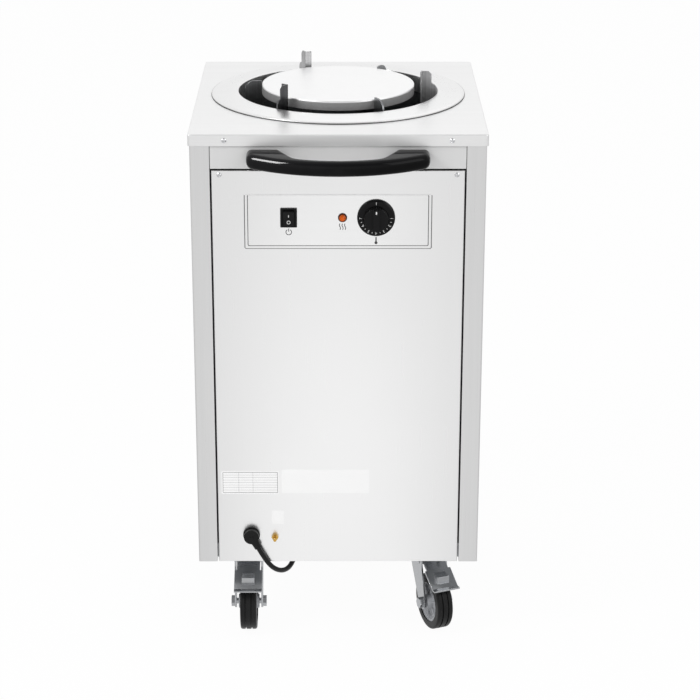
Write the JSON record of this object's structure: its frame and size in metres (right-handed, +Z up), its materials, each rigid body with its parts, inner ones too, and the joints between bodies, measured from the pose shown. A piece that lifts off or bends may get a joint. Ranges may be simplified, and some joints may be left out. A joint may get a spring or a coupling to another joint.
{
  "type": "heated plate dispenser",
  "caption": "Upright steel cabinet on castors with a sprung plate well in its top, a bow handle, heat controls and a mains lead.",
  "frame": {"origin": "middle of the part's outline on the floor, without the cord", "axes": "+Z up, +X to the right seen from the front, the front with the handle faces -Y"},
  "size_m": [0.47, 0.5842, 0.923],
  "materials": {
    "steel": "brushed stainless sheet",
    "ring_steel": "satin stainless, spun",
    "platform_steel": "bright stainless",
    "guide_steel": "dull stainless",
    "inner_steel": "mill finish",
    "zinc": "bright zinc plate",
    "screw_steel": "plated",
    "handle_black": "gloss moulded",
    "black": "satin moulded",
    "overlay": "fine brushed",
    "amber": "clear amber lens",
    "brass": "bright",
    "rubber_cord": "matt sheath",
    "tyre": "rubber",
    "hub": "grey moulded",
    "cream": "moulded"
  },
  "bodies": {
    "cabinet": {"top_cover": "steel", "side_panel_left": "steel", "side_panel_right": "steel", "rear_panel": "steel", "upper_front_rail": "steel", "front_panel": "steel", "base_pan": "inner_steel", "push_handle": "handle_black", "cover_screws": "screw_steel", "panel_screws": "screw_steel", "opening_ring": "ring_steel", "plate_well": "inner_steel", "plate_guide_rear": "guide_steel", "plate_guide_left": "guide_steel", "plate_guide_right": "guide_steel", "spring_hanger": "inner_steel", "lift_springs": "inner_steel", "control_plate": "steel", "control_overlay": "overlay", "switch_body": "black", "lamp_body": "black", "lamp_lens": "amber", "thermostat": "black", "heating_element": "inner_steel", "heater_posts": "inner_steel", "terminal_block": "cream", "cord_gland": "black", "gland_nut": "black", "earth_terminal": "brass", "cord_clip": "black", "castor_plates": "zinc", "castor_bolts": "zinc", "mains_cord": "rubber_cord", "cord_coil": "rubber_cord", "cord_tail": "rubber_cord", "plug": "black", "plug_pins": "brass"},
    "lift": {"platform_disc": "platform_steel", "platform_arms": "inner_steel", "lower_spider": "inner_steel"},
    "rocker": {"rocker_button": "black"},
    "knob": {"dial_knob": "black"},
    "swivel_front_left": {"fork_front_left": "zinc", "pins_front_left": "zinc"},
    "wheel_front_left": {"hub_front_left": "hub", "tyre_front_left": "tyre"},
    "pedal_front_left": {"brake_pedal_front_left": "zinc"},
    "swivel_front_right": {"fork_front_right": "zinc", "pins_front_right": "zinc"},
    "wheel_front_right": {"hub_front_right": "hub", "tyre_front_right": "tyre"},
    "pedal_front_right": {"brake_pedal_front_right": "zinc"},
    "swivel_rear_left": {"fork_rear_left": "zinc", "pins_rear_left": "zinc"},
    "wheel_rear_left": {"hub_rear_left": "hub", "tyre_rear_left": "tyre"},
    "swivel_rear_right": {"fork_rear_right": "zinc", "pins_rear_right": "zinc"},
    "wheel_rear_right": {"hub_rear_right": "hub", "tyre_rear_right": "tyre"}
  },
  "joints": [
    {"name": "platform_lift", "type": "slide", "parent": "cabinet", "child": "lift", "axis": [0, 0, -1], "range_m": [0, 0.4], "stiffness_N_per_m": 420, "springref_m": -0.12, "deforming": ["lift_springs"]},
    {"name": "rocker_tilt", "type": "hinge", "parent": "cabinet", "child": "rocker", "pos_m": [-0.078, -0.2173, 0.747], "axis": [1, 0, 0], "range_deg": [-18, 0]},
    {"name": "dial_turn", "type": "hinge", "parent": "cabinet", "child": "knob", "pos_m": [0.06, -0.2147, 0.747], "axis": [0, 1, 0], "range_deg": [0, 270]},
    {"name": "castor_swivel_front_left", "type": "hinge", "parent": "cabinet", "child": "swivel_front_left", "pos_m": [-0.152, -0.1301, 0.133], "axis": [0, 0, 1], "continuous": true},
    {"name": "wheel_spin_front_left", "type": "hinge", "parent": "swivel_front_left", "child": "wheel_front_left", "pos_m": [-0.152, -0.1641, 0.048], "axis": [1, 0, 0], "continuous": true},
    {"name": "brake_front_left", "type": "hinge", "parent": "swivel_front_left", "child": "pedal_front_left", "pos_m": [-0.152, -0.1501, 0.118], "axis": [1, 0, 0], "range_deg": [0, 8]},
    {"name": "castor_swivel_front_right", "type": "hinge", "parent": "cabinet", "child": "swivel_front_right", "pos_m": [0.152, -0.1301, 0.133], "axis": [0, 0, 1], "continuous": true},
    {"name": "wheel_spin_front_right", "type": "hinge", "parent": "swivel_front_right", "child": "wheel_front_right", "pos_m": [0.16474, -0.16162, 0.048], "axis": [0.9272, 0.3746, 0], "continuous": true},
    {"name": "brake_front_right", "type": "hinge", "parent": "swivel_front_right", "child": "pedal_front_right", "pos_m": [0.15949, -0.14864, 0.118], "axis": [0.9272, 0.3746, 0], "range_deg": [0, 8]},
    {"name": "castor_swivel_rear_left", "type": "hinge", "parent": "cabinet", "child": "swivel_rear_left", "pos_m": [-0.152, 0.2049, 0.133], "axis": [0, 0, 1], "continuous": true},
    {"name": "wheel_spin_rear_left", "type": "hinge", "parent": "swivel_rear_left", "child": "wheel_rear_left", "pos_m": [-0.16363, 0.23685, 0.048], "axis": [-0.9397, -0.342, 0], "continuous": true},
    {"name": "castor_swivel_rear_right", "type": "hinge", "parent": "cabinet", "child": "swivel_rear_right", "pos_m": [0.152, 0.2049, 0.133], "axis": [0, 0, 1], "continuous": true},
    {"name": "wheel_spin_rear_right", "type": "hinge", "parent": "swivel_rear_right", "child": "wheel_rear_right", "pos_m": [0.16023, 0.23789, 0.048], "axis": [-0.9703, 0.2419, 0], "continuous": true}
  ]
}
